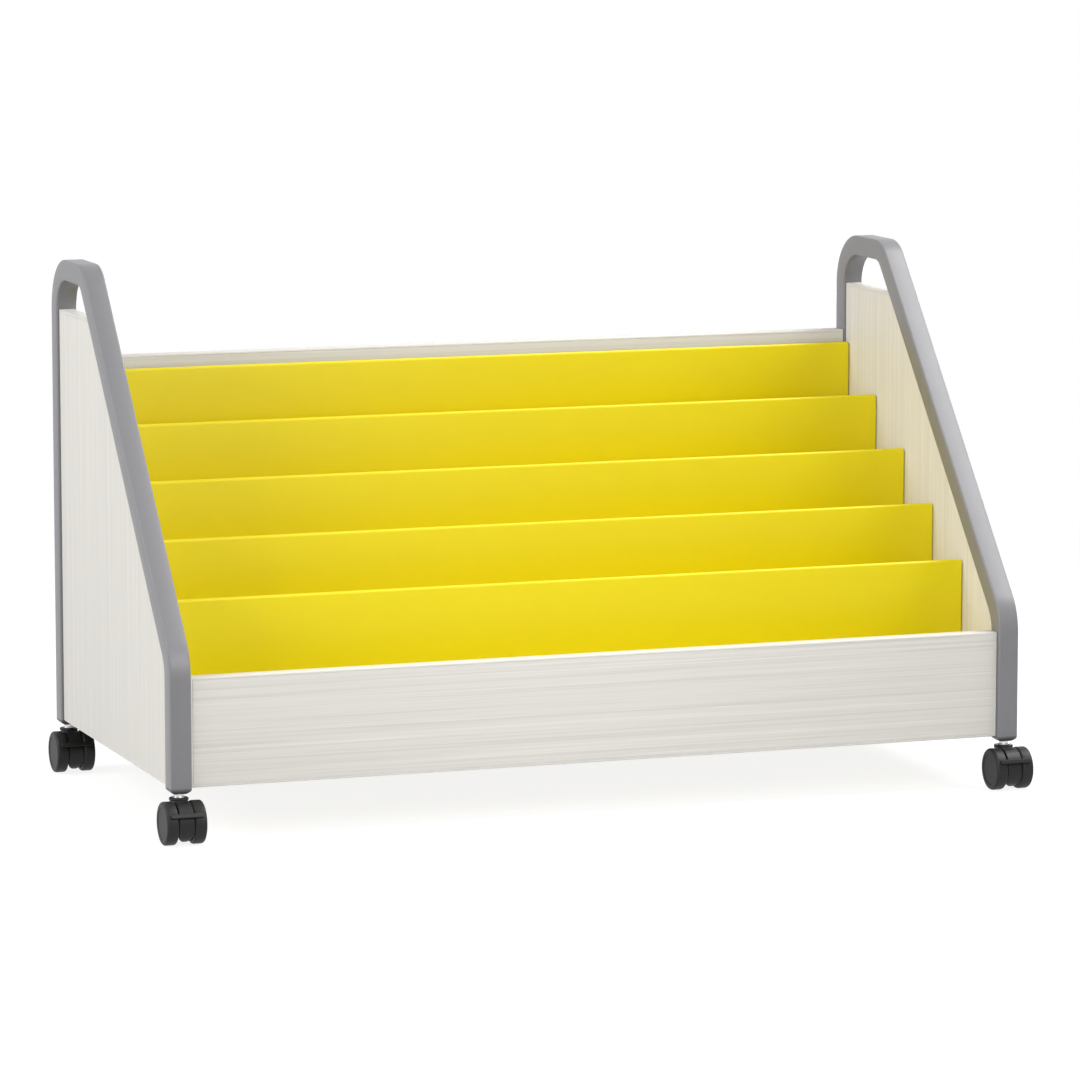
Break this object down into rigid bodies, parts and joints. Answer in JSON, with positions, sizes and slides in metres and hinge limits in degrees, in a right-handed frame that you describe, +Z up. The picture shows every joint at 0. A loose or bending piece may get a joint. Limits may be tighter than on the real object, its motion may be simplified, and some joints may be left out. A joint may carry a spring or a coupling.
{
  "type": "book display shelf",
  "caption": "Mobile book display shelf: stepped steel trays between bent-tube end frames with laminate panels, on twin-wheel swivel casters with brake pedals.",
  "frame": {"origin": "on the floor, under the middle of the box that holds the whole shelf at rest", "axes": "+X to the right seen from the front, +Y from the front board to the back panel, +Z up"},
  "size_m": [1.0894, 0.548, 0.6377],
  "materials": {
    "tube": "satin grey powder coat",
    "laminate": "pale fine-grained laminate on board",
    "tray": "satin yellow powder coat",
    "bracket": "zinc plated",
    "cap": "moulded",
    "steel": "bright steel",
    "nylon": "moulded black nylon",
    "wheel": "moulded black nylon"
  },
  "bodies": {
    "carcass": {"left_frame_tube": "tube", "right_frame_tube": "tube", "left_end_panel": "laminate", "right_end_panel": "laminate", "front_board": "laminate", "back_panel": "laminate", "tray_1": "tray", "tray_2": "tray", "tray_3": "tray", "tray_4": "tray", "tray_5": "tray", "corner_bracket_front_left": "bracket", "corner_bracket_front_right": "bracket", "corner_bracket_rear_left": "bracket", "corner_bracket_rear_right": "bracket", "post_cap_front_left": "cap", "post_cap_front_right": "cap", "post_cap_rear_left": "cap", "post_cap_rear_right": "cap", "caster_stem_front_left": "steel", "caster_stem_front_right": "steel", "caster_stem_rear_left": "steel", "caster_stem_rear_right": "steel"},
    "caster_front_left": {"caster_body_front_left": "nylon", "caster_axle_front_left": "steel"},
    "caster_front_right": {"caster_body_front_right": "nylon", "caster_axle_front_right": "steel"},
    "caster_rear_left": {"caster_body_rear_left": "nylon", "caster_axle_rear_left": "steel"},
    "caster_rear_right": {"caster_body_rear_right": "nylon", "caster_axle_rear_right": "steel"},
    "pedal_front_left": {"brake_pedal_front_left": "nylon"},
    "pedal_front_right": {"brake_pedal_front_right": "nylon"},
    "pedal_rear_left": {"brake_pedal_rear_left": "nylon"},
    "pedal_rear_right": {"brake_pedal_rear_right": "nylon"},
    "outer_wheel_front_left": {"outer_wheel_front_left": "wheel"},
    "outer_wheel_front_right": {"outer_wheel_front_right": "wheel"},
    "outer_wheel_rear_left": {"outer_wheel_rear_left": "wheel"},
    "outer_wheel_rear_right": {"outer_wheel_rear_right": "wheel"},
    "inner_wheel_front_left": {"inner_wheel_front_left": "wheel"},
    "inner_wheel_front_right": {"inner_wheel_front_right": "wheel"},
    "inner_wheel_rear_left": {"inner_wheel_rear_left": "wheel"},
    "inner_wheel_rear_right": {"inner_wheel_rear_right": "wheel"}
  },
  "joints": [
    {"name": "swivel_front_left", "type": "hinge", "parent": "carcass", "child": "caster_front_left", "pos_m": [-0.5207, -0.23407, 0.0527], "axis": [0, 0, 1], "continuous": true},
    {"name": "swivel_front_right", "type": "hinge", "parent": "carcass", "child": "caster_front_right", "pos_m": [0.5207, -0.23407, 0.0527], "axis": [0, 0, 1], "continuous": true},
    {"name": "swivel_rear_left", "type": "hinge", "parent": "carcass", "child": "caster_rear_left", "pos_m": [-0.5207, 0.26133, 0.0527], "axis": [0, 0, 1], "continuous": true},
    {"name": "swivel_rear_right", "type": "hinge", "parent": "carcass", "child": "caster_rear_right", "pos_m": [0.5207, 0.26133, 0.0527], "axis": [0, 0, 1], "continuous": true},
    {"name": "outer_wheel_spin_front_left", "type": "hinge", "parent": "caster_front_left", "child": "outer_wheel_front_left", "pos_m": [-0.5207, -0.24677, 0.0254], "axis": [1, 0, 0], "continuous": true},
    {"name": "outer_wheel_spin_front_right", "type": "hinge", "parent": "caster_front_right", "child": "outer_wheel_front_right", "pos_m": [0.5207, -0.24677, 0.0254], "axis": [1, 0, 0], "continuous": true},
    {"name": "outer_wheel_spin_rear_left", "type": "hinge", "parent": "caster_rear_left", "child": "outer_wheel_rear_left", "pos_m": [-0.5207, 0.24863, 0.0254], "axis": [1, 0, 0], "continuous": true},
    {"name": "outer_wheel_spin_rear_right", "type": "hinge", "parent": "caster_rear_right", "child": "outer_wheel_rear_right", "pos_m": [0.5207, 0.24863, 0.0254], "axis": [1, 0, 0], "continuous": true},
    {"name": "inner_wheel_spin_front_left", "type": "hinge", "parent": "caster_front_left", "child": "inner_wheel_front_left", "pos_m": [-0.5207, -0.24677, 0.0254], "axis": [1, 0, 0], "continuous": true},
    {"name": "inner_wheel_spin_front_right", "type": "hinge", "parent": "caster_front_right", "child": "inner_wheel_front_right", "pos_m": [0.5207, -0.24677, 0.0254], "axis": [1, 0, 0], "continuous": true},
    {"name": "inner_wheel_spin_rear_left", "type": "hinge", "parent": "caster_rear_left", "child": "inner_wheel_rear_left", "pos_m": [-0.5207, 0.24863, 0.0254], "axis": [1, 0, 0], "continuous": true},
    {"name": "inner_wheel_spin_rear_right", "type": "hinge", "parent": "caster_rear_right", "child": "inner_wheel_rear_right", "pos_m": [0.5207, 0.24863, 0.0254], "axis": [1, 0, 0], "continuous": true},
    {"name": "brake_front_left", "type": "hinge", "parent": "caster_front_left", "child": "pedal_front_left", "pos_m": [-0.5207, -0.24677, 0.0254], "axis": [1, 0, 0], "range_deg": [0, 12]},
    {"name": "brake_front_right", "type": "hinge", "parent": "caster_front_right", "child": "pedal_front_right", "pos_m": [0.5207, -0.24677, 0.0254], "axis": [1, 0, 0], "range_deg": [0, 12]},
    {"name": "brake_rear_left", "type": "hinge", "parent": "caster_rear_left", "child": "pedal_rear_left", "pos_m": [-0.5207, 0.24863, 0.0254], "axis": [1, 0, 0], "range_deg": [0, 12]},
    {"name": "brake_rear_right", "type": "hinge", "parent": "caster_rear_right", "child": "pedal_rear_right", "pos_m": [0.5207, 0.24863, 0.0254], "axis": [1, 0, 0], "range_deg": [0, 12]}
  ]
}
